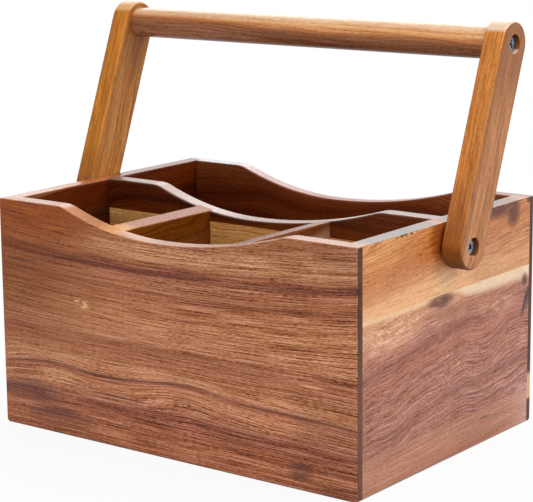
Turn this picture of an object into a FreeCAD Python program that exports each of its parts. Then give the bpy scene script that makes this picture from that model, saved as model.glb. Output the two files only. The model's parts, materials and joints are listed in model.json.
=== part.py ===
"""Cutlery caddy: an open-topped wooden box with four compartments and a swinging grip.

Frame: millimetres, +X along the box to the right, +Y to the back, +Z up. The origin is the
centre of the underside. The grip stands tilted back from upright, as it is left when not in use.

The box is built as it is made: the boards are cut to size, glued up, shaped and sanded as one
body, and each board is then the share of that body which lies inside its own blank.
"""
import FreeCAD, Part
import math
import os

from FreeCAD import Vector

# Box, outside
box_length = 280.0
box_depth = 200.0
box_height = 150.0

# Boards
front_wall = 12.0           # front board
back_wall = 10.0
right_wall = 12.0           # end boards
left_wall = 10.0
divider = 12.0              # lengthwise and cross dividers
lip = 5.0                   # thickness of the front and back boards left over the end boards
housing = 4.0               # depth of the grooves that hold the dividers and the floor
floor = 6.0                 # floor board
floor_height = 6.0          # underside of the floor above the table
floor_play = 0.5            # gap round the floor in its groove, for the wood's movement
middle_width = 84.0         # middle front compartment, along X
divider_set_back = 1.5      # middle of the lengthwise divider, behind the middle of the box
end_lower_stave = 24.0      # widths of the staves glued edge to edge into an end board
end_middle_stave = 82.0
divider_upper_stave = 20.0  # width of the stave along the top of the lengthwise divider

# Scalloped top
scallop_left_radius = 200.0
scallop_right_radius = 330.0
scallop_front_drop = 15.0   # depth of the scallop at the front, and at the back
scallop_back_drop = 16.4
scallop_shoulder = 22.0     # radius of the rounded shoulders at its two ends
scallop_shift = -10.0       # its lowest point along X
ease = 1.2                  # all sanded edges
heel = 2.5                  # bottom edges of the end boards

# Grip
arm_width = 28.0
arm_thickness = 14.2
arm_reach = 125.5           # pivot to grip bar, centre to centre
arm_ease = 1.5
bar_radius = 10.0
pivot_drop = 15.0           # pivot below the top of the end boards
tilt = 21.0                 # lean of the grip to the back, degrees

# Screws and washers
shank_radius = 2.5
screw_length = 40.0
point_length = 6.0
point_radius = 0.3
head_radius = 5.1
head_height = 3.6
head_round = 1.0
recess_span = 5.4           # cross recess, across its arms
recess_width = 1.5
recess_depth = 2.2
recess_taper = 0.45         # the recess's bottom as a share of its span
counterbore_radius = 6.0
counterbore_depth = 6.0
washer_radius = 5.0
washer_thickness = 1.0
washer_slack = 0.2          # radial, round the shank
pivot_fit = 0.08            # radial running clearance of the arm on its screw
end_play = 0.1              # along the screw, each side of the arm

# Levels and faces that follow
half_length = box_length / 2
half_depth = box_depth / 2
inner_left = half_length - left_wall
inner_right = half_length - right_wall
inner_front = half_depth - front_wall
inner_back = half_depth - back_wall
divider_front = divider_set_back - divider / 2
divider_back = divider_set_back + divider / 2
floor_top = floor_height + floor
glue_line = box_height - divider_upper_stave
arm_inner = half_length + washer_thickness + end_play
arm_outer = arm_inner + arm_thickness
counterbore_floor = arm_outer - counterbore_depth
pivot = Vector(0, 0, box_height - pivot_drop)


def block(x0, x1, y0, y1, z0, z1):
    return Part.makeBox(x1 - x0, y1 - y0, z1 - z0, Vector(x0, y0, z0))


def rod(x0, x1, radius, centre):
    """Cylinder along X from x0 to x1 about the line through centre."""
    return Part.makeCylinder(radius, abs(x1 - x0), Vector(min(x0, x1), centre.y, centre.z), Vector(1, 0, 0))


def mirrored(shape):
    """The same piece at the other end of the box."""
    return shape.mirror(Vector(0, 0, 0), Vector(1, 0, 0))


def save(name, *solids):
    shape = solids[0] if len(solids) == 1 else Part.makeCompound(list(solids))
    shape.exportStep("parts/" + name + ".step")


# ---- the glued-up box ----

def scallop_outline(y, drop):
    """Edge of the cut at y: two arcs that meet at the lowest point, between rounded shoulders."""

    def point(x, z):
        return Vector(scallop_shift + x, y, z)

    def half(side, radius):
        """One side's shoulder and arc, and how far from the lowest point the shoulder ends."""
        reach = radius + scallop_shoulder
        end = math.sqrt(reach ** 2 - (reach - drop) ** 2)
        slope = math.degrees(math.asin(end / reach))

        def on_shoulder(lean):
            """Point of the shoulder, lean degrees in from its top."""
            angle = math.radians(lean)
            return point(side * (end - scallop_shoulder * math.sin(angle)),
                         box_height - scallop_shoulder * (1 - math.cos(angle)))

        def on_arc(lean):
            """Point of the arc, lean degrees out from its lowest point."""
            angle = math.radians(lean)
            return point(side * radius * math.sin(angle), box_height - drop + radius * (1 - math.cos(angle)))

        shoulder = Part.Arc(on_shoulder(0), on_shoulder(slope / 2), on_shoulder(slope)).toShape()
        arc = Part.Arc(on_arc(slope), on_arc(slope / 2), on_arc(0)).toShape()
        return shoulder, arc, side * end

    left_shoulder, left_arc, left_end = half(-1, scallop_left_radius)
    right_shoulder, right_arc, right_end = half(1, scallop_right_radius)
    rise = box_height + drop
    return Part.Wire([
        left_shoulder, left_arc, right_arc, right_shoulder,
        Part.makeLine(point(right_end, box_height), point(right_end, rise)),
        Part.makeLine(point(right_end, rise), point(left_end, rise)),
        Part.makeLine(point(left_end, rise), point(left_end, box_height)),
    ])


def scallop():
    """What the saw takes off the top, straight from the front's outline to the back's."""
    outlines = [scallop_outline(-half_depth, scallop_front_drop), scallop_outline(half_depth, scallop_back_drop)]
    return Part.makeLoft(outlines, True, True)


def compartments():
    """The four spaces inside: three in front of the lengthwise divider and one behind it."""
    half_middle = middle_width / 2
    front = (-inner_front, divider_front)
    spans = [(-inner_left, -half_middle - divider), (-half_middle, half_middle), (half_middle + divider, inner_right)]
    spaces = [block(x0, x1, *front, floor_top, box_height) for x0, x1 in spans]
    return spaces + [block(-inner_left, inner_right, divider_back, inner_back, floor_top, box_height)]


def is_upright(face):
    u0, u1, v0, v1 = face.ParameterRange
    return abs(face.normalAt((u0 + u1) / 2, (v0 + v1) / 2).z) < 1e-6


def sanded_edges(body):
    """Edges of the upright faces that meet the top, and the outlines of the front and back."""
    found = []
    for face in body.Faces:
        if not is_upright(face):
            continue
        centre = face.CenterOfMass
        outside = abs(abs(centre.y) - half_depth) < 1e-6
        for edge in face.Edges:
            above = edge.BoundBox.ZMin > box_height - max(scallop_front_drop, scallop_back_drop) - 1e-3
            if (outside or above) and not any(edge.isSame(other) for other in found):
                found.append(edge)
    return found


def glued_box():
    body = block(-half_length, half_length, -half_depth, half_depth, 0, box_height)
    heels = [edge for edge in body.Edges
             if edge.BoundBox.ZMax < 1e-6 and abs(abs(edge.CenterOfMass.x) - half_length) < 1e-6]
    body = body.makeFillet(heel, heels)
    for space in compartments():
        body = body.cut(space)
    body = body.cut(block(-inner_left, inner_right, -inner_front, inner_back, 0, floor_height))
    body = body.cut(scallop()).removeSplitter()
    return body.makeFillet(ease, sanded_edges(body))


# ---- blanks: what each board takes of the glued-up box ----

def divider_blank():
    x0, x1 = -inner_left - housing, inner_right + housing
    return block(x0, x1, divider_front, divider_back, floor_top, box_height)


def cross_blank():
    """Right cross divider, housed in the front board and in the lengthwise divider."""
    x0 = middle_width / 2
    return block(x0, x0 + divider, -inner_front - housing, divider_front + housing, floor_top, box_height)


def floor_blank(play):
    """The floor's groove, less this play all round."""
    reach = housing - play
    return block(-inner_left - reach, inner_right + reach, -inner_front - reach, inner_back + reach,
                 floor_height, floor_top)


def end_blank(inner):
    """Right end board from this inner face out, between the lips of the front and back boards."""
    y = half_depth - lip
    return block(inner, half_length, -y, y, 0, box_height)


# ---- screws ----

def screw(seat_x, axis):
    """Pan-head wood screw at the right, its head seated at seat_x and its point towards -X."""
    shank = rod(seat_x - screw_length + point_length, seat_x, shank_radius, axis)
    tip = Part.makeCone(shank_radius, point_radius, point_length,
                        Vector(seat_x - screw_length + point_length, axis.y, axis.z), Vector(-1, 0, 0))
    head = rod(seat_x, seat_x + head_height, head_radius, axis)
    rim = [edge for edge in head.Edges if edge.BoundBox.XMin > seat_x + head_height - 1e-6]
    head = head.makeFillet(head_round, rim)
    return shank.fuse([tip, head]).removeSplitter().cut(cross_recess(seat_x + head_height, axis))


def cross_recess(top_x, axis):
    """Two crossed slots in the head, each narrowing towards its bottom."""
    half = recess_span / 2
    outline = [(0, -half), (0, half), (-recess_depth, half * recess_taper), (-recess_depth, -half * recess_taper)]
    points = [Vector(top_x + x, axis.y + y, axis.z - recess_width / 2) for x, y in outline]
    slot = Part.Face(Part.makePolygon(points + points[:1])).extrude(Vector(0, 0, recess_width))
    crossed = slot.copy()
    crossed.rotate(Vector(top_x, axis.y, axis.z), Vector(1, 0, 0), 90)
    both = slot.fuse(crossed)
    both.rotate(Vector(top_x, axis.y, axis.z), Vector(1, 0, 0), 30)
    return both


# ---- grip ----

def upright_arm():
    """Right arm standing straight up from its pivot."""
    half = arm_width / 2
    top = pivot + Vector(0, 0, arm_reach)
    body = block(arm_inner, arm_outer, -half, half, pivot.z, top.z)
    body = body.fuse([rod(arm_inner, arm_outer, half, pivot), rod(arm_inner, arm_outer, half, top)])
    body = body.removeSplitter()
    outline = [edge for edge in body.Edges if edge.BoundBox.XLength < 1e-6]
    body = body.makeFillet(arm_ease, outline)
    for centre, radius in ((pivot, shank_radius + pivot_fit), (top, shank_radius)):
        body = body.cut(rod(arm_inner, arm_outer, radius, centre))
        body = body.cut(rod(counterbore_floor, arm_outer, counterbore_radius, centre))
    return body


def leaned(shape):
    """Tilt a piece of the upright grip to where it rests."""
    shape.rotate(pivot, Vector(1, 0, 0), -tilt)
    return shape


def build():
    os.makedirs("parts", exist_ok=True)
    box = glued_box()
    lengthwise, right_cross = divider_blank(), cross_blank()
    left_cross = mirrored(right_cross)
    right_end, left_end = end_blank(inner_right), mirrored(end_blank(inner_left))
    groove = floor_blank(0)

    pivot_screw = screw(counterbore_floor + end_play, pivot)
    pilots = rod(-arm_inner, arm_inner, shank_radius, pivot)
    pilots = pilots.cut(block(-counterbore_floor + screw_length, counterbore_floor - screw_length,
                              -half_depth, half_depth, 0, box_height))

    front = block(-half_length, half_length, -half_depth, -inner_front, 0, box_height)
    front_board = box.common(front).cut(right_end).cut(left_end).cut(groove)
    save("front_board", front_board.cut(right_cross).cut(left_cross))
    back = block(-half_length, half_length, inner_back, half_depth, 0, box_height)
    save("back_board", box.common(back).cut(right_end).cut(left_end).cut(groove))

    levels = (0, end_lower_stave, end_lower_stave + end_middle_stave, box_height)
    staves = list(zip(("lower", "middle", "upper"), levels, levels[1:]))
    for side, blank in (("right", right_end), ("left", left_end)):
        end_board = box.common(blank).cut(lengthwise).cut(groove).cut(pilots)
        for part, z0, z1 in staves:
            stave = block(-half_length, half_length, -half_depth, half_depth, z0, z1)
            save(side + "_end_" + part + "_stave", end_board.common(stave))

    divider_board = box.common(lengthwise).cut(right_cross).cut(left_cross).cut(pilots)
    for part, z0, z1 in (("lower", 0, glue_line), ("upper", glue_line, box_height)):
        stave = block(-half_length, half_length, -half_depth, half_depth, z0, z1)
        save("divider_" + part + "_stave", divider_board.common(stave))
    save("right_cross_divider", box.common(right_cross))
    save("left_cross_divider", box.common(left_cross))

    save("floor_board", floor_blank(floor_play))

    right_arm = leaned(upright_arm())
    save("right_arm", right_arm)
    save("left_arm", mirrored(right_arm))
    grip = pivot + Vector(0, 0, arm_reach)
    grip_screw = leaned(screw(counterbore_floor, grip))
    bar = leaned(rod(-arm_inner, arm_inner, bar_radius, grip))
    save("grip_bar", bar.cut(grip_screw).cut(mirrored(grip_screw)))

    washer = rod(half_length, half_length + washer_thickness, washer_radius, pivot)
    washer = washer.cut(rod(half_length, half_length + washer_thickness, shank_radius + washer_slack, pivot))
    save("pivot_washers", washer, mirrored(washer))
    save("pivot_screws", pivot_screw, mirrored(pivot_screw))
    save("grip_screws", grip_screw, mirrored(grip_screw))


build()
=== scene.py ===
import json
import math

import bpy
from mathutils import Matrix, Vector


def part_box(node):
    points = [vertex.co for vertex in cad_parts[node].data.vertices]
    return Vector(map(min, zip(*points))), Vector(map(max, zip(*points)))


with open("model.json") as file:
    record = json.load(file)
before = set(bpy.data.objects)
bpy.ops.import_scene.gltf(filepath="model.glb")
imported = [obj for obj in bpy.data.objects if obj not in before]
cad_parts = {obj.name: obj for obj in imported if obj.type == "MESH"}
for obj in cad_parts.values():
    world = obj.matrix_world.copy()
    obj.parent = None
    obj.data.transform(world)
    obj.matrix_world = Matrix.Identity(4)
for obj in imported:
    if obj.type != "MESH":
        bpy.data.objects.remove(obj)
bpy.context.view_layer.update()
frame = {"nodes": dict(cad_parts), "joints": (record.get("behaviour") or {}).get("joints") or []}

# Looks of the cutlery caddy: a box of glued acacia boards with an oil finish, and a swinging grip
# held by zinc-plated screws. The scene is in metres. The materials measure in millimetres from the
# same origin, the middle of the box's underside, and those of the grip from its pivot or its bar.


# ---- front board ----
# One wide plank of flat-sawn heartwood, its grain along the box, rabbeted over the end boards. Two dark
# growth rings sag across its upper half, a third wanders above an eye of light wood, and painted shade
# darkens and reddens its foot.

millimetres = 1000  # in a metre


class Reading:
    """A number or a colour that a material's nodes work out. Arithmetic on it adds Math nodes."""

    def __init__(self, nodes, socket):
        self.nodes, self.socket = nodes, socket

    def maths(self, operation, *terms):
        return self.nodes.node("Math", {"operation": operation}, dict(enumerate(terms)))

    def __add__(self, other):
        return self.maths("ADD", self, other)

    def __sub__(self, other):
        return self.maths("SUBTRACT", self, other)

    def __rsub__(self, other):
        return self.maths("SUBTRACT", other, self)

    def __mul__(self, other):
        return self.maths("MULTIPLY", self, other)

    def __truediv__(self, other):
        return self.maths("DIVIDE", self, other)

    def __pow__(self, other):
        return self.maths("POWER", self, other)

    def __abs__(self):
        return self.maths("ABSOLUTE", self)

    def __or__(self, other):
        """The larger of the two, so that masks join without adding up."""
        return self.maths("MAXIMUM", self, other)

    __radd__, __rmul__ = __add__, __mul__


class Nodes:
    """A node tree, written as Python."""

    def __init__(self, tree):
        self.tree = tree

    def node(self, kind, settings, sockets, output=0):
        """One node: its settings first, then the values or links of its sockets. A ramp's stops are
        (place, colour) pairs, and a curve's points are (across, up) pairs."""
        made = self.tree.nodes.new("ShaderNode" + kind)
        for name, setting in settings.items():
            if name == "stops":
                stops = made.color_ramp.elements
                while len(stops) < len(setting):
                    stops.new(0.5)
                for stop, (at, colour) in zip(stops, setting):
                    stop.position, stop.color = at, colour
            elif name == "points":
                curve = made.mapping.curves[0]
                while len(curve.points) < len(setting):
                    curve.points.new(0.5, 0.5)
                for point, at in zip(curve.points, setting):
                    point.location = at
                made.mapping.update()
            else:
                setattr(made, name, setting)
        for name, value in sockets.items():
            if isinstance(value, Reading):
                self.tree.links.new(value.socket, made.inputs[name])
            else:
                made.inputs[name].default_value = value
        return Reading(self, made.outputs[output])

    def object_place(self):
        """Where a point of the piece is, in metres."""
        return self.node("TexCoord", {}, {}, "Object")

    def axis(self, vector, letter):
        """The x, y or z of a vector."""
        return self.node("SeparateXYZ", {}, {0: vector}, "xyz".index(letter))

    def between(self, value, low, high):
        """0 where value is at low, 1 at high, eased between them."""
        span = {"Value": value, "From Min": low, "From Max": high}
        return self.node("MapRange", {"interpolation_type": "SMOOTHSTEP"}, span)

    def mix(self, share, first, second):
        """The first colour, giving way to the second by this share."""
        return self.node("Mix", {"data_type": "RGBA"}, {0: share, 6: first, 7: second}, 2)

    def scaled(self, colour, factor):
        """The colour made this many times as light."""
        vector = colour if isinstance(colour, Reading) else colour[:3]
        return self.node("VectorMath", {"operation": "SCALE"}, {0: vector, "Scale": factor})

    def feed(self, shader, sockets):
        """Links what varies over the surface to the shader's sockets."""
        for name, value in sockets.items():
            self.tree.links.new(value.socket, shader.inputs[name])


def tone(red, green, blue):
    """A colour from 0 to 255, as on a paint card, turned into the linear light that a shader wants
    by the usual screen curve."""
    return (*(((part / 255 + 0.055) / 1.055) ** 2.4 for part in (red, green, blue)), 1.0)


def new_material(name):
    """An empty material with nodes."""
    material = bpy.data.materials.new(name)
    material.use_nodes = True
    return material


def give(material, *names):
    """Puts the material on the named pieces, in place of what they came with."""
    for name in names:
        slots = frame["nodes"][name].data.materials
        slots.clear()
        slots.append(material)


class Timber(Nodes):
    """Oiled wood. run, rise and depth are millimetres along the grain, across the board's face and
    through its thickness, and grain names their axes. The seed makes each board a plank of its own.
    With a centre and a lean in radians, all three are measured from there, along the leaning piece."""

    def __init__(self, name, grain, seed, lean=0.0, centre=(0.0, 0.0, 0.0)):
        self.material = new_material(name)
        super().__init__(self.material.node_tree)
        spacing = 7.3  # keeps one plank's noise clear of the next one's
        self.start = seed * spacing
        upright = (lean, 0, 0)
        origin = -(Matrix.Rotation(lean, 3, "X") @ Vector(centre))
        place = self.node("Mapping", {}, {
            "Vector": self.object_place(), "Location": origin, "Rotation": upright,
            "Scale": (millimetres, millimetres, millimetres)})
        facing = self.node("Mapping", {"vector_type": "NORMAL"}, {
            "Vector": self.node("TexCoord", {}, {}, "Normal"), "Rotation": upright})
        self.run, self.rise, self.depth = (self.axis(place, letter) for letter in grain)
        self.faces_run, self.faces_rise, self.faces_depth = (self.axis(facing, letter) for letter in grain)
        self.faces_up = self.axis(facing, "z")

    def blotches(self, level, size, seed, detail=2.0, roughness=0.6):
        """Noise from 0 to 1, in blotches of this (length, height, thickness)."""
        length, height, thickness = size
        where = self.node("CombineXYZ", {}, {
            0: self.run / length + (self.start + seed), 1: level / height, 2: self.depth / thickness})
        noise = self.node("TexNoise", {}, {
            "Vector": where, "Scale": 1.0, "Detail": detail, "Roughness": roughness})
        return self.node("MapRange", {}, {"Value": noise, "From Min": 0.25, "From Max": 0.75})

    def wander(self, length, height, reach):
        """How far, up to reach either way, the growth rings stray."""
        stray = self.blotches(self.rise, (length, height, height), 9, detail=1.0, roughness=0.5)
        return (stray - 0.5) * (2 * reach)

    def course(self, *points):
        """Height of a line drawn along the board through these (run, rise) points."""
        start, end = points[0][0], points[-1][0]
        room = 1  # millimetres for the curve to swing past its points
        low, high = min(rise for run, rise in points) - room, max(rise for run, rise in points) + room
        drawn = [((run - start) / (end - start), (rise - low) / (high - low)) for run, rise in points]
        share = (self.run - start) / (end - start)
        return self.node("FloatCurve", {"points": drawn}, {"Value": share}) * (high - low) + low

    def layers(self, level, *colours):
        """Colour of the wood at this level, from (level, colour) pairs going up."""
        low, high = colours[0][0], colours[-1][0]
        stops = [((at - low) / (high - low), colour) for at, colour in colours]
        return self.node("ValToRGB", {"stops": stops}, {0: (level - low) / (high - low)})

    def line(self, level, at, half_width):
        """1 on the line, fading to 0 at half_width to either side."""
        return self.between(abs(level - at), half_width, 0.0)

    def spot(self, run, rise, length, height):
        """1 in the middle of an oval, 0 outside it. length and height are its half sizes."""
        across, up = (self.run - run) / length, (self.rise - rise) / height
        return self.between(across * across + up * up, 1.0, 0.0)

    def grained(self, colour, level, contrast=1.0, length=1.0, curl=0.4):
        """The colour with the wood's fibres and pores drawn over it. length stretches them along the
        grain, and curl is how many millimetres they stray across it. Oil makes the dark ones redder,
        so red changes least and blue most."""
        bend = self.blotches(level, (40 * length, 6.0, 8.0), 4, roughness=0.5)
        level = level + (bend - 0.5) * curl
        ribbons = self.blotches(level, (260 * length, 3.6, 7.0), 1)
        lines = self.blotches(level, (220 * length, 1.0, 3.0), 8, detail=3.0, roughness=0.9)
        threads = self.blotches(level, (36 * length, 0.42, 0.8), 3, detail=1.0, roughness=0.7)
        flecks = self.blotches(level, (3.5, 0.5, 0.8), 6, detail=1.0, roughness=0.7)
        pitted = self.blotches(level, (5, 0.45, 0.6), 5, detail=0.0, roughness=0.5)
        pores = self.between(pitted, 0.62, 0.95)
        dusk = self.between(self.blotches(level, (180 * length, 1.8, 7.0), 7), 0.45, 0.9)
        self.ridges = (threads + flecks) * 0.5 - pores * 0.5
        light = (ribbons - 0.5) * 0.25 + (lines - 0.5) * 1.3 + (threads - 0.5) * 1.7 + (flecks - 0.5) * 1.0
        darkest = 0.1
        shade = ((light - dusk * 0.25 - pores * 0.2) * contrast + 1) | darkest
        tint = self.node("CombineXYZ", {}, {0: shade ** 0.65, 1: shade ** 1.05, 2: shade ** 1.6})
        return self.node("VectorMath", {"operation": "MULTIPLY"}, {0: colour, 1: tint})

    def faintly_grained(self, colour):
        """The colour with only the fibres' ridges showing in it."""
        return self.scaled(colour, self.ridges * 0.5 + 0.75)

    def dress(self, name, colour, end_tone, lit_top_tone=None, gloss=0.24, polish=0.3, shine=0.5):
        """Finishes the material and gives it to the named piece. End grain takes more oil and is duller.
        Edges that look up are painted in the given top tone, a painted highlight or sheen standing in for the
        light that falls on them from above, and polish is the coat of oil on them. gloss is the faces'
        roughness and shine their specular level."""
        end_grain = self.between(abs(self.faces_run), 0.6, 0.95) * 0.85
        upward = self.between(self.faces_up, 0.5, 0.9)
        if lit_top_tone is not None:
            colour = self.mix(upward * 0.85, colour, self.faintly_grained(lit_top_tone))
            self.ridges = self.ridges * (1 - upward * 0.8)
        relief = {"Height": self.ridges, "Distance": 0.08 / millimetres, "Strength": 0.6}
        shader = self.tree.nodes["Principled BSDF"]
        shader.inputs["IOR"].default_value = 1.3
        shader.inputs["Specular IOR Level"].default_value = shine
        shader.inputs["Coat IOR"].default_value = 1.5
        shader.inputs["Coat Roughness"].default_value = 0.3
        self.feed(shader, {
            "Base Color": self.mix(end_grain, colour, self.faintly_grained(end_tone)),
            "Coat Weight": upward * polish,
            "Roughness": self.ridges * 0.1 + gloss + end_grain * 0.2,
            "Normal": self.node("Bump", {}, relief, "Normal")})
        give(self.material, name)


wood = Timber("front_board_wood", "xzy", 3)

# The growth rings. level is close to rise on the outer face, and shifts through the thickness.
upper = wood.between(wood.rise, 62, 95)
sag = (wood.run + 14) * (wood.run + 14) * 0.00034
ripple = wood.course(
    (-140, -5), (-116, -0.5), (-90, 1.2), (-60, -1), (-14, 1.2), (10, 2.4), (45, -1), (90, -1.4), (140, -3))
level = wood.rise - sag * upper - ripple * wood.line(wood.rise, 43, 22) + wood.wander(110, 12, 0.8)
level = level - wood.spot(26, 38, 56, 18) * 2.5 + wood.depth * 0.3 + 29.5
colour = wood.layers(
    level, (0, tone(160, 92, 58)), (9, tone(172, 104, 66)), (18, tone(164, 96, 62)), (26, tone(154, 88, 62)),
    (32, tone(180, 116, 80)), (39, tone(188, 124, 84)), (43, tone(172, 104, 70)), (45.5, tone(148, 88, 62)),
    (49, tone(188, 126, 86)), (55, tone(176, 114, 76)), (61, tone(164, 100, 66)), (66, tone(154, 92, 60)),
    (72, tone(176, 114, 78)), (86, tone(182, 120, 80)), (98, tone(167, 103, 66)), (102.6, tone(150, 88, 56)),
    (103.6, tone(158, 96, 60)), (112, tone(166, 104, 70)), (113.6, tone(152, 90, 60)),
    (114.4, tone(106, 52, 36)), (118, tone(136, 76, 50)), (122, tone(166, 106, 70)),
    (129, tone(184, 126, 86)), (136, tone(164, 106, 70)), (146, tone(146, 84, 48)))

# Where the oil lies darker, redder or paler. Towards the left end the darkening is partly painted shade.
east = wood.spot(124, 46, 40, 22)
colour = wood.mix(east * 0.3, colour, tone(136, 80, 52))
eye = wood.spot(24, 37.5, 20, 6) | wood.spot(-95, 39.5, 32, 5)
colour = wood.mix(eye * 0.4, colour, tone(208, 148, 104))
west = wood.between(wood.run, -20, -130) * wood.between(wood.rise, 64, 100)
colour = wood.mix(west * 0.6, colour, tone(120, 58, 12))
# Deeper orange towards the left end: partly the wood's own, partly painted shade where less light falls.
west_orange_and_shade = wood.between(wood.run, -40, -130) * (wood.between(wood.rise, 45, 85) * 0.32 + 0.12)
colour = wood.mix(west_orange_and_shade, colour, tone(118, 58, 8))
crown = wood.between(wood.rise, 116, 138) * wood.between(wood.run, -36, -96)
colour = wood.mix(crown * 0.8, colour, tone(142, 66, 4))
dim = wood.spot(126, 26, 44, 26) * 0.3 | wood.spot(58, 24, 40, 7) * 0.4 | wood.spot(94, 134, 20, 5) * 0.2
dim = dim | wood.spot(126, 141, 22, 12) * 0.4 | wood.spot(130, 4, 30, 8) * 0.5
colour = wood.mix(dim, colour, tone(118, 64, 40))
pale_band = wood.spot(50, 119, 50, 6)
colour = wood.mix(pale_band * 0.3, colour, tone(184, 118, 80))
pale_end = wood.spot(114, 126, 24, 5)
colour = wood.mix(pale_end * 0.4, colour, tone(180, 122, 82))

# A second dark line parts from the upper ring at the left, and the fibres are calmer there.
double = wood.line(wood.rise - wood.course((-140, 127.5), (-104, 121), (-60, 117.5), (140, 118)), 0, 1.6)
colour = wood.mix(double * wood.between(wood.run, -30, -80) * 0.55, colour, tone(92, 44, 26))
calm = wood.between(wood.run, 10, -60) * wood.between(wood.rise, 45, 65)
colour = wood.grained(colour, level, wood.between(wood.rise, 45, 30) * 0.2 + 1.2 - calm * 0.3)

# Marks on top of the grain: a broken dark ring, smoky streaks, checks and pale flecks, and painted shade
# along the foot.
streak = wood.blotches(wood.rise, (60, 2.4, 4), 21)
ring = wood.line(wood.rise - 46 - ripple, 0, 1.2) * wood.between(streak, 0.2, 0.55)
colour = wood.mix(ring * 0.7, colour, tone(84, 48, 36))
smoke = wood.spot(-118, 25, 38, 10) | wood.spot(-92, 12, 36, 9) | wood.spot(99, 12, 12, 8)
colour = wood.mix(smoke * wood.between(streak, 0.0, 0.7) * 0.8, colour, tone(88, 46, 42))
check = wood.spot(-123, 112, 17, 0.9) * wood.between(streak, 0.2, 0.5)
check = check | wood.spot(-40, 33, 32, 0.8) | wood.spot(24, 26.5, 18, 0.8) | wood.spot(80, 124.5, 2.2, 1.3)
colour = wood.mix(check * 0.75, colour, tone(60, 28, 22))
fleck = wood.between(wood.blotches(wood.rise, (5, 1.6, 4), 41, detail=1.0, roughness=0.5), 0.45, 0.8)
pale = wood.spot(-71, 89, 9, 5) * fleck | wood.spot(108, 64.3, 11, 0.6)
colour = wood.mix(pale * 0.9, colour, tone(226, 176, 122))
# Painted shade along the bottom edge, where it turns down to the table.
foot_shade = wood.between(wood.rise, 1.6, 0.6)
colour = wood.mix(foot_shade * 0.6, colour, tone(70, 36, 26))

# The scalloped top edge is painted in the tones the light gives it: paler on its left slope, with a painted
# highlight at the foot of that slope, and greyer towards both ends. Its left slope is also unpolished.
slope = wood.between(wood.run, -38, -50) * wood.between(wood.run, -104, -86)
lit_top_tone = wood.mix(slope, tone(190, 116, 66), tone(200, 134, 90))
lit_top_tone = wood.mix(wood.line(wood.run, -46, 15), lit_top_tone, tone(240, 168, 106))
lit_top_tone = wood.mix(wood.between(abs(wood.run), 84, 104), lit_top_tone, tone(192, 136, 98))
end = wood.mix(wood.between(wood.rise, 60, 95), tone(84, 54, 46), tone(38, 18, 12))
wood.dress("front_board", colour, end, lit_top_tone, polish=0.28 - slope * 0.24)


# ---- back board ----
# A second plank off the same log, rabbeted like the front one, but darker and redder. A flame of
# cream sapwood low down on its outer face comes out in the end grain at the right.

wood = Timber("back_board_wood", "xzy", 5)
swell = wood.course((-140, 3), (-80, -2), (-10, 6), (50, -4), (100, 2), (140, -3))
level = wood.rise + swell + wood.wander(60, 30, 3) - wood.depth * 0.4 + 37
colour = wood.layers(
    level, (0, tone(128, 68, 38)), (20, tone(142, 80, 44)), (40, tone(110, 54, 28)), (60, tone(134, 72, 38)),
    (80, tone(112, 52, 24)), (96, tone(88, 34, 12)), (104, tone(116, 54, 22)), (114, tone(76, 24, 6)),
    (122, tone(108, 46, 14)), (130, tone(84, 30, 8)), (138, tone(116, 54, 20)), (150, tone(140, 80, 40)))
sapwood = wood.between(wood.rise, 15, 17.5) * wood.between(wood.rise, 35, 31)
sapwood = sapwood * wood.between(wood.run, 40, 120)
colour = wood.mix(sapwood * wood.between(wood.depth, 93, 96), colour, tone(226, 184, 132))
colour = wood.mix(wood.between(wood.run, 40, -100) * 0.45, colour, tone(50, 12, 0))
colour = wood.grained(colour, level, 0.55)
# The top edge is painted in the tone the light gives it, a near-white painted reflection towards the left.
lit_top_tone = wood.mix(wood.between(wood.run, -60, -110), tone(156, 92, 68), tone(230, 226, 232))
end = wood.mix(sapwood * 0.85, tone(70, 42, 34), tone(220, 176, 130))
wood.dress("back_board", colour, end, lit_top_tone, polish=0.2)


# ---- right end board ----
# Three staves glued edge to edge and let into the front and back boards. The upper one is golden,
# with slanting fibres and a smoky patch by the back; the middle one is pink heartwood under a cream
# sapwood edge; the lower one is plain.

golden = Timber("golden_stave_wood", "yzx", 8)
level = golden.rise - golden.run * 0.07 + golden.wander(40, 12, 1.5)
colour = golden.layers(
    level, (100, tone(214, 160, 112)), (110, tone(222, 168, 120)), (117, tone(220, 164, 116)),
    (124, tone(198, 132, 84)), (132, tone(190, 120, 68)), (140, tone(196, 126, 68)),
    (150, tone(212, 146, 86)))
colour = golden.mix(golden.between(golden.run, 5, 40) * 0.45, colour, tone(180, 118, 72))
# Painted shadow of the right arm over wood that is deeper orange there: a wide blush, then deeper painted
# shade at the arm's foot.
orange_and_arm_shadow = golden.spot(-36, 138, 30, 17)
colour = golden.mix(orange_and_arm_shadow * 0.45, colour, tone(168, 88, 30))
shade = golden.spot(-14, 141, 14, 17)
colour = golden.mix(shade * 0.9, colour, tone(134, 58, 2))
dusky = golden.spot(70, 124, 36, 8)
colour = golden.mix(dusky * 0.4, colour, tone(176, 112, 66))
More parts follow.
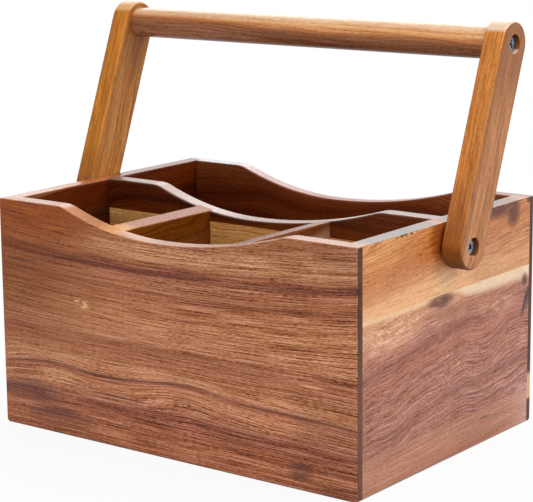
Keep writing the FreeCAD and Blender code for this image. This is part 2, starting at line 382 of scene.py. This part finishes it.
# Painted light below the right arm, where the arm's own soft shadow falls.
glow = golden.spot(-8, 113, 14, 9)
colour = golden.mix(glow * 0.5, colour, tone(248, 200, 150))
contrast = golden.between(golden.rise, 114, 128) * 0.3 + 0.35
colour = golden.grained(colour, level, contrast, length=0.6)
drift = golden.blotches(level, (18, 4, 6), 21, detail=3.0)
streak = golden.between(golden.blotches(level - golden.run * 0.2, (70, 3.4, 8), 27), 0.5, 0.95)
colour = golden.mix(streak * golden.between(golden.rise, 116, 124) * 0.4, colour, tone(150, 84, 48))
feather = golden.blotches(level - golden.run * 0.25, (14, 1.8, 6), 29)
smoke = (golden.spot(54, 148, 36, 8) | golden.spot(74, 145, 11, 15)) * golden.between(feather, -0.5, 0.4)
smoke = smoke | golden.spot(78, 128, 30, 14) * golden.between(drift, 0.45, 0.9) * 0.4
colour = golden.mix(smoke * 0.95, colour, tone(92, 44, 30))
nicks = golden.between(golden.blotches(golden.rise, (1.6, 3, 3), 5, detail=0.0, roughness=0.5), 0.3, 0.5)
wane = golden.between(golden.rise, 147.9, 148.9) * golden.spot(-48, 149, 17, 6) * nicks
wane = wane | golden.spot(94, 148.6, 5, 3)
colour = golden.mix(wane * 0.85, colour, tone(34, 20, 16))
# The top edge is painted in the tones the light gives it: greyish, orange by the arm, paler at the corners.
lit_top_tone = golden.mix(golden.between(golden.run, 10, 60), tone(124, 112, 112), tone(150, 114, 100))
lit_top_tone = golden.mix(golden.line(golden.run, -8, 16) * 0.7, lit_top_tone, tone(220, 140, 84))
corners = golden.between(golden.run, 76, 90) | golden.between(golden.run, -82, -92)
lit_top_tone = golden.mix(corners, lit_top_tone, tone(196, 146, 112))
golden.dress("right_end_upper_stave", colour, tone(150, 100, 70), lit_top_tone, polish=0.08)

pink = Timber("pink_stave_wood", "yzx", 13)
swirl = pink.course((-100, 3), (-60, 2), (-20, -3), (10, -3), (40, 2), (70, -1), (100, 3))
level = pink.rise - pink.run * 0.09 + swirl * pink.between(pink.rise, 112, 40) + pink.wander(50, 34, 3)
colour = pink.layers(
    level, (16, tone(170, 112, 92)), (24, tone(158, 100, 82)), (32, tone(170, 114, 92)),
    (40, tone(156, 98, 80)), (48, tone(168, 110, 88)), (56, tone(170, 112, 90)), (64, tone(160, 102, 82)),
    (72, tone(168, 106, 84)), (80, tone(146, 88, 72)), (87, tone(180, 122, 98)), (95, tone(192, 134, 102)),
    (102, tone(196, 140, 108)), (108, tone(210, 156, 116)))
drift = pink.blotches(pink.rise, (12, 5, 6), 21, detail=3.0)
fair = pink.spot(-66, 93, 44, 11) | pink.spot(58, 87, 34, 8) * 0.6
colour = pink.mix(fair * pink.between(drift, 0.1, 0.7) * 0.7, colour, tone(222, 170, 136))
long_shade = pink.spot(30, 95, 90, 7)
colour = pink.mix(long_shade * 0.5, colour, tone(156, 98, 76))
front_shade = pink.spot(-74, 100, 44, 3)
colour = pink.mix(front_shade * 0.4, colour, tone(168, 106, 80))
rosy = pink.spot(88, 30, 30, 10)
colour = pink.mix(rosy * 0.5, colour, tone(190, 138, 126))
contrast = 1.05 - pink.between(pink.rise, 50, 90) * 0.35
colour = pink.grained(colour, level, contrast, length=0.45, curl=0.15)
plume = pink.blotches(level + pink.run * 0.02, (46, 1.5, 6), 25, detail=3.0, roughness=0.7)
plume = pink.between(plume, 0.55, 0.9) * pink.between(pink.rise, 66, 48) * pink.between(pink.rise, 26, 34)
colour = pink.mix(plume * 0.6, colour, tone(96, 56, 54))
weft = pink.blotches(pink.rise + pink.run * 0.5, (3, 1.2, 6), 27, detail=1.0, roughness=0.5)
shimmer = (pink.spot(12, 60, 46, 18) | pink.spot(-56, 96, 40, 9)) * (weft - 0.5) * 0.6
colour = pink.scaled(colour, shimmer + 1)
edge = pink.course((-98, 103.6), (-60, 103.2), (-28, 103.8), (-6, 105.5), (20, 101.5), (50, 99.5), (98, 99.5))
softness = pink.between(pink.run, -20, 30) * 2.6 + 1.4
sapwood = pink.between((pink.rise - edge) / softness, -1, 0.6)
cream = pink.mix(pink.between(pink.run, -10, 15), tone(232, 190, 148), tone(232, 204, 170))
colour = pink.mix(sapwood * 0.85, colour, pink.scaled(cream, drift * 0.16 + weft * 0.1 + 0.84))
smoke = pink.spot(-12, 102.5, 19, 6.5) * pink.between(drift, -0.2, 0.5)
smoke = smoke | pink.spot(-4, 90, 50, 12) * pink.between(drift, 0.3, 0.9) * 0.35
colour = pink.mix(smoke * 0.9, colour, tone(92, 54, 40))
knot = pink.spot(89.5, 97, 5, 5.5)
colour = pink.mix(knot * 0.9, colour, tone(84, 56, 48))
scar = pink.line(pink.run - pink.rise * 0.52, 47.8, 4.2) * pink.spot(91, 83, 14, 13)
scar = scar | pink.line(pink.run - pink.rise * 0.4, 61, 2.4) * pink.spot(94, 82, 8, 8) * 0.8
colour = pink.mix(scar, colour, tone(44, 34, 44))
pink.dress("right_end_middle_stave", colour, tone(120, 80, 66))

plain = Timber("plain_stave_wood", "yzx", 17)
level = plain.rise - plain.run * 0.02 + plain.wander(60, 10, 1)
colour = plain.layers(
    level, (0, tone(166, 106, 78)), (8, tone(176, 118, 90)), (20, tone(176, 120, 94)),
    (26, tone(170, 114, 90)))
colour = plain.mix(plain.between(plain.run, 62, 92) * 0.6, colour, tone(190, 142, 128))
dusky = plain.spot(36, 14, 40, 18)
colour = plain.mix(dusky * 0.35, colour, tone(152, 100, 80))
colour = plain.grained(colour, level, 0.55, length=1.2)
check = plain.spot(42, 17, 8, 1.2)
colour = plain.mix(check * 0.7, colour, tone(84, 56, 54))
warmth = plain.spot(28, 2, 40, 6)
colour = plain.mix(warmth * 0.4, colour, tone(150, 84, 56))
# Painted shade along the bottom edge, where it turns down to the table.
foot_shade = plain.between(plain.rise, 1.5, 0.5)
colour = plain.mix(foot_shade * 0.8, colour, tone(76, 42, 34))
plain.dress("right_end_lower_stave", colour, tone(120, 80, 66))


# ---- left end board ----
# Glued up from three staves and let into the same rabbets as the right one, but thinner, and its
# upper stave is dark red heartwood.

dark = Timber("left_upper_stave_wood", "yzx", 23)
level = dark.rise - dark.run * 0.05 + dark.wander(60, 24, 2.5)
colour = dark.layers(
    level, (100, tone(92, 36, 6)), (112, tone(100, 40, 6)), (121, tone(72, 20, 0)), (126, tone(60, 16, 0)),
    (131, tone(88, 32, 2)), (140, tone(94, 34, 2)), (148, tone(100, 38, 4)), (150, tone(140, 84, 46)))
colour = dark.grained(colour, level, 0.5)
# The top edge is painted in the tones the light gives it, orange near the arm.
lit_top_tone = dark.mix(dark.between(dark.run, -64, -40), tone(214, 166, 136), tone(214, 118, 66))
lit_top_tone = dark.mix(dark.between(dark.run, 2, 14), lit_top_tone, tone(120, 62, 30))
dark.dress("left_end_upper_stave", colour, tone(110, 70, 50), lit_top_tone)

wood = Timber("left_middle_stave_wood", "yzx", 29)
level = wood.rise + wood.run * 0.05 + wood.wander(60, 34, 4)
colour = wood.layers(
    level, (20, tone(170, 108, 74)), (40, tone(150, 90, 60)), (58, tone(172, 112, 78)),
    (72, tone(144, 84, 56)), (90, tone(176, 118, 82)), (108, tone(160, 98, 66)))
colour = wood.grained(colour, level)
wood.dress("left_end_middle_stave", colour, tone(110, 70, 50))

wood = Timber("left_lower_stave_wood", "yzx", 31)
level = wood.rise + wood.wander(60, 10, 1)
colour = wood.layers(level, (0, tone(196, 132, 84)), (12, tone(208, 148, 100)), (26, tone(198, 134, 88)))
colour = wood.grained(colour, level, 0.7)
wood.dress("left_end_lower_stave", colour, tone(120, 80, 60))


# ---- lengthwise divider ----
# Two staves glued edge to edge, dark heartwood with a wavy figure along the top and pale wood below.
# It is housed in the end boards, and the pivot screws go into its ends.

wood = Timber("divider_upper_wood", "xzy", 37)
figure = wood.course((-130, 3), (-80, -2), (-30, 3), (40, -2), (130, 2))
level = wood.rise + figure + wood.wander(40, 16, 2)
colour = wood.layers(
    level, (126, tone(84, 32, 6)), (133, tone(96, 40, 8)), (138, tone(56, 16, 0)), (142, tone(84, 32, 4)),
    (146, tone(72, 24, 2)), (152, tone(104, 48, 14)))
colour = wood.mix(wood.between(wood.run, 40, 110) * 0.5, colour, tone(112, 56, 16))
colour = wood.grained(colour, level, 0.55)
# The top edge is painted in the pale tone the light gives it.
lit_top_tone = wood.mix(wood.between(wood.run, -60, -110), tone(176, 134, 116), tone(150, 116, 100))
wood.dress("divider_upper_stave", colour, tone(80, 44, 32), lit_top_tone)

wood = Timber("divider_lower_wood", "xzy", 41)
level = wood.rise + wood.wander(60, 10, 2)
colour = wood.layers(level, (10, tone(184, 136, 80)), (60, tone(190, 142, 86)), (132, tone(194, 140, 80)))
colour = wood.grained(colour, level, 0.6)
wood.dress("divider_lower_stave", colour, tone(150, 110, 76))


# ---- cross dividers ----
# Short golden-brown boards, housed in the front board and the lengthwise divider, that part the
# front half into three. The left one darkens upwards; the right one has a pale band under its top.

for name, seed, low_tone, heart, lit_top_back, lit_top_front, shine in (
        ("left_cross_divider", 43,
         tone(110, 56, 12), tone(118, 60, 8), tone(170, 100, 54), tone(244, 174, 104), 0.15),
        ("right_cross_divider", 47,
         tone(238, 194, 154), tone(140, 80, 40), tone(148, 84, 54), tone(148, 84, 54), 0.5)):
    wood = Timber(name + "_wood", "yzx", seed)
    level = wood.rise - wood.run * 0.1 + wood.wander(50, 24, 3)
    colour = wood.layers(
        level, (10, tone(178, 120, 72)), (90, tone(176, 112, 56)), (128, low_tone), (139, heart),
        (146, heart))
    colour = wood.grained(colour, level, 0.6)
    # The top edge is painted in the tones the light gives it, towards the back and the front.
    lit_top_tone = wood.mix(wood.between(wood.run, -72, -86), lit_top_back, lit_top_front)
    wood.dress(name, colour, tone(120, 76, 52), lit_top_tone, polish=0.02, shine=shine)


# ---- floor board ----
# A plain thin panel that floats in a groove round the box, seen only down inside the compartments
# and from below.

wood = Timber("floor_board_wood", "xyz", 53)
level = wood.rise + wood.course((-140, 6), (-50, -6), (40, 6), (140, -4)) + wood.wander(70, 20, 4)
colour = wood.layers(
    level, (-100, tone(168, 108, 72)), (-50, tone(184, 128, 88)), (-20, tone(152, 92, 60)),
    (30, tone(180, 122, 84)), (70, tone(160, 100, 66)), (100, tone(176, 116, 78)))
colour = wood.grained(colour, level)
wood.dress("floor_board", colour, tone(110, 74, 56))


# ---- arms ----
# Two arms with round ends, outside the end boards, sawn from straight tan wood. Each turns on a
# pivot screw. Their quartered edges, front and back, take the oil deeper and turn amber.

# The arms' own line runs from the pivot to the middle of the grip bar.
pivot = Vector(frame["joints"][0]["pos_m"]) * millimetres
bar_low, bar_high = (Vector(corner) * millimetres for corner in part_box("grip_bar"))
bar_centre = (bar_low + bar_high) / 2
reach = (bar_centre - pivot).length
lean = math.atan2(bar_centre.y - pivot.y, bar_centre.z - pivot.z)
bore_reach = 12  # how far from a screw's axis the wall of its counterbore gets painted shade
for name, seed, face_tones, edge_tone, lit_cap_tone in (
        ("right_arm", 59, (tone(154, 98, 54), tone(176, 118, 72), tone(164, 104, 58)),
         tone(198, 122, 52), tone(244, 212, 184)),
        ("left_arm", 61, (tone(184, 118, 54), tone(198, 132, 62), tone(176, 108, 42)),
         tone(184, 112, 28), tone(230, 176, 114))):
    outer, inner, heart = face_tones
    wood = Timber(name + "_wood", "zyx", seed, lean, pivot)
    level = wood.rise + wood.course((-16, 2), (30, -1), (80, 1), (145, -2)) + wood.wander(90, 6, 1.0)
    colour = wood.layers(level, (-15, outer), (-4, inner), (4, heart), (9, inner), (15, outer))
    edge = wood.between(abs(wood.faces_rise), 0.35, 0.85)
    sheen = wood.blotches(wood.depth, (120, 4, 40), 33, roughness=0.5)
    colour = wood.mix(edge, colour, wood.scaled(edge_tone, sheen * 0.5 + 0.75))
    figure = wood.blotches(level + wood.depth + wood.run * 0.3, (45, 6, 9), 51, detail=1.0, roughness=0.5)
    mottle = wood.blotches(level + wood.depth, (9, 3, 9), 57)
    colour = wood.scaled(colour, figure * 0.3 + mottle * 0.16 + 0.78)
    colour = wood.grained(colour, level + wood.depth, 0.6, curl=0.3)
    # Painted shade on the front and back edges towards each arm's lower end.
    colour = wood.mix(wood.between(wood.run, 46, 0) * edge * 0.6, colour, tone(112, 52, 6))
    colour = wood.mix(wood.between(wood.run, 70, 125) * (1 - edge) * 0.55, colour, tone(116, 64, 28))
    # Painted shade on the walls of each counterbore.
    shaded_bore_zone = wood.spot(0, 0, bore_reach, bore_reach) | wood.spot(reach, 0, bore_reach, bore_reach)
    colour = wood.mix((1 - abs(wood.faces_depth)) * shaded_bore_zone * 0.8, colour, tone(110, 58, 26))
    # Painted shade on the faces that look down, under each arm's lower end.
    foot_shade = wood.between(wood.faces_run, 0.0, -0.6)
    colour = wood.mix(foot_shade * 0.7, colour, tone(96, 48, 16))
    # Painted highlight on the round top of each arm, where the light from above falls.
    lit_cap = wood.between(wood.faces_run, 0.18, 0.4) * wood.between(wood.run, 100, 104)
    colour = wood.mix(lit_cap * 0.9, colour, lit_cap_tone)
    # The end grain takes the painted highlight at the top and the painted shade underneath.
    wood.dress(name, colour, wood.mix(foot_shade, lit_cap_tone, tone(92, 46, 16)), gloss=0.3, polish=0.4)


# ---- grip bar ----
# A turned bar of pinkish wood with a few purple streaks, held between the arms by a screw through
# each of them into its end.

wood = Timber("grip_bar_wood", "xzy", 67, centre=bar_centre)
# The bands are painted lighter over the bar's upper half and darker below, as the light from above falls,
# over the wood's own pinkish tone.
level = wood.rise + wood.depth * 0.7 + wood.run * 0.02 + wood.wander(70, 6, 1.5)
colour = wood.layers(
    level, (-14, tone(138, 92, 68)), (-10.5, tone(128, 82, 58)), (-8, tone(128, 82, 54)),
    (-6, tone(148, 92, 56)), (-4, tone(186, 120, 72)), (-2, tone(216, 152, 98)), (0, tone(228, 170, 114)),
    (3, tone(220, 158, 108)), (6, tone(228, 172, 126)), (9, tone(222, 162, 118)), (13, tone(236, 190, 150)))
colour = wood.mix(wood.between(wood.run, 40, -120) * 0.3, colour, tone(176, 108, 62))
streak = wood.between(wood.blotches(level + wood.run * 0.03, (120, 2.6, 5), 71), 0.5, 0.9)
colour = wood.mix(streak * wood.between(wood.rise, 5, 0) * 0.45, colour, tone(92, 48, 34))
colour = wood.grained(colour, level, 0.5, length=1.6, curl=0.1)
# A painted highlight along the top of the bar.
lit_top_tone = wood.mix(0.6, colour, tone(252, 218, 180))
wood.dress("grip_bar", colour, tone(120, 78, 60), lit_top_tone, polish=0.15, shine=0.35)


# ---- screws and washers ----
# Pan-head wood screws and their washers, bright zinc plate with a bluish passivation. The heads lie in the
# arms' counterbores, and painted shade darkens them down their sides and in their cross recesses.

zinc = new_material("zinc_plate")
plate = Nodes(zinc.node_tree)
cloud = plate.node("TexNoise", {}, {"Vector": plate.object_place(), "Scale": 700.0, "Detail": 3.0})
head_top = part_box("pivot_screws")[1][0] * millimetres
# Painted shade from just below each head's top down to its seat, over its sides and cross recess.
below_top = head_top - abs(plate.axis(plate.object_place(), "x") * millimetres)
recess_shade = plate.between(below_top, 0.8, 1.4) * plate.between(below_top, 4.0, 3.7)  # down to the seat
plated = plate.mix(cloud, tone(150, 172, 196), tone(116, 136, 160))
shader = plate.tree.nodes["Principled BSDF"]
shader.inputs["Metallic"].default_value = 1.0
plate.feed(shader, {
    "Base Color": plate.mix(recess_shade, plated, tone(20, 24, 34)), "Roughness": cloud * 0.25 + 0.2})
give(zinc, "pivot_screws", "grip_screws", "pivot_washers")


# ---- studio ----
# A white table under a soft room light, with large soft lamps at the right rear, in front and at the
# left rear. What the camera sees of table and room away from the box is plain white.

def seen_white(nodes):
    """1 for what the camera sees, straight or in a gloss or through glass, else 0."""
    camera, gloss, glass = (nodes.node("LightPath", {}, {}, kind) for kind in (
        "Is Camera Ray", "Is Glossy Ray", "Is Transmission Ray"))
    return camera | gloss | glass


world = bpy.data.worlds.new("studio")
world.use_nodes = True
bpy.context.scene.world = world
room = Nodes(world.node_tree)
room_light = 0.42
background = room.tree.nodes["Background"]
background.inputs["Color"].default_value = (1, 1, 1, 1)
room.feed(background, {"Strength": seen_white(room) * (1 - room_light) + room_light})

table_reach = 5.0
corners = [(x * table_reach, y * table_reach, 0) for x, y in ((-1, -1), (1, -1), (1, 1), (-1, 1))]
table_top = bpy.data.meshes.new("table")
table_top.from_pydata(corners, [], [(0, 1, 2, 3)])
table = bpy.data.objects.new("table", table_top)
bpy.context.scene.collection.objects.link(table)
white = new_material("white_table")
top = Nodes(white.node_tree)
top.tree.nodes.remove(top.tree.nodes["Principled BSDF"])
shadow_near, shadow_far = 0.16, 0.3  # from the middle: where the box's shadow starts to fade, and ends
whiteness = 0.92  # of the table under the box, which leaves its shadow faint
apart = top.node("VectorMath", {"operation": "LENGTH"}, {0: top.object_place()}, "Value")
share = seen_white(top) * (top.between(apart, shadow_near, shadow_far) * (1 - whiteness) + whiteness)
matt = top.node("BsdfDiffuse", {}, {"Color": (0.86, 0.86, 0.86, 1)})
glow = top.node("Emission", {}, {"Color": (1, 1, 1, 1), "Strength": 1.0})
surface = top.node("MixShader", {}, {0: share, 1: matt, 2: glow})
top.feed(top.tree.nodes["Material Output"], {"Surface": surface})
table_top.materials.append(white)


def lamp(name, place, aim, width, height, power):
    """A soft rectangular lamp, in metres and watts, that the camera doesn't see."""
    light = bpy.data.lights.new(name, "AREA")
    light.shape, light.size, light.size_y, light.energy = "RECTANGLE", width, height, power
    held = bpy.data.objects.new(name, light)
    held.location = place
    held.rotation_euler = (Vector(place) - Vector(aim)).to_track_quat("Z", "Y").to_euler()
    held.visible_camera = False
    bpy.context.scene.collection.objects.link(held)


lamp("key_lamp", (1.5, 0.5, 1.3), (0, 0, 0.1), 0.9, 0.9, 20)
lamp("front_lamp", (0.5, -1.9, 1.0), (0, 0, 0.1), 1.2, 0.9, 20)
lamp("rear_lamp", (-0.7, 1.3, 1.1), (0, 0, 0.14), 1.6, 1.0, 12)


# ---- camera ----
# A long lens a little above the box, looking at its front from the right and turned very slightly
# about its own axis, which passes through aim.

azimuth, elevation, roll = (math.radians(angle) for angle in (37.492, 11.443, -0.612))
distance = 1.2307
aim = Vector((-0.00968, 0.0, 0.12319))
focal_pixels, picture_width = 1898.5, 533
back = Vector((
    math.sin(azimuth) * math.cos(elevation), -math.cos(azimuth) * math.cos(elevation), math.sin(elevation)))
level_right = Vector((math.cos(azimuth), math.sin(azimuth), 0))
level_up = back.cross(level_right)
right = level_right * math.cos(roll) + level_up * math.sin(roll)
up = level_up * math.cos(roll) - level_right * math.sin(roll)
lens = bpy.data.cameras.new("camera")
lens.sensor_width = 36
lens.lens = lens.sensor_width * focal_pixels / picture_width
lens.shift_x, lens.shift_y = 0.0242, -0.0286
camera = bpy.data.objects.new("camera", lens)
camera.matrix_world = Matrix((right, up, back)).transposed().to_4x4()
camera.location = aim + back * distance
bpy.context.scene.collection.objects.link(camera)
bpy.context.scene.camera = camera
bpy.context.scene.view_settings.view_transform = "Standard"
